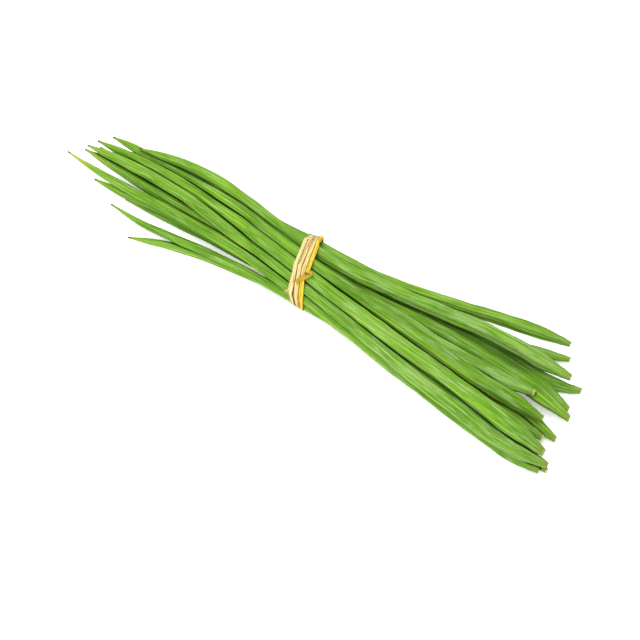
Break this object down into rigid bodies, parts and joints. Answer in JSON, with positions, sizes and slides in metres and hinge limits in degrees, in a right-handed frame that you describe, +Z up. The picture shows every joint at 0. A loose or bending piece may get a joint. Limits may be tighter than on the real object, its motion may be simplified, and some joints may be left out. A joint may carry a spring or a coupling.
{
  "type": "tied bundle of drumstick pods",
  "caption": "Bunch of long ribbed green moringa pods lying on a surface, bound at the middle by a flat raffia strip, with beaks at one end and cut stalks at the other.",
  "frame": {"origin": "middle of the bunch's box, on the surface that it lies on", "axes": "+X along the pods towards the cut stalks, +Y to the bunch's far side, +Z up"},
  "size_m": [0.511, 0.1262, 0.0476],
  "materials": {
    "pod_skin": "satin fresh green skin with a pale bloom",
    "raffia": "dry satin straw fibre"
  },
  "bodies": {
    "root": {"pod_far_side": "pod_skin", "pod_far_top": "pod_skin", "pod_top_far": "pod_skin", "pod_top_near": "pod_skin", "pod_near_top": "pod_skin", "pod_near_side": "pod_skin", "pod_near_low": "pod_skin", "pod_floor_near": "pod_skin", "pod_floor_mid_near": "pod_skin", "pod_floor_middle": "pod_skin", "pod_floor_mid_far": "pod_skin", "pod_floor_far": "pod_skin", "pod_inner_near": "pod_skin", "pod_inner_near_top": "pod_skin", "pod_inner_low": "pod_skin", "pod_inner_middle": "pod_skin", "pod_inner_far": "pod_skin", "pod_inner_top": "pod_skin", "tie": "raffia"}
  },
  "joints": []
}
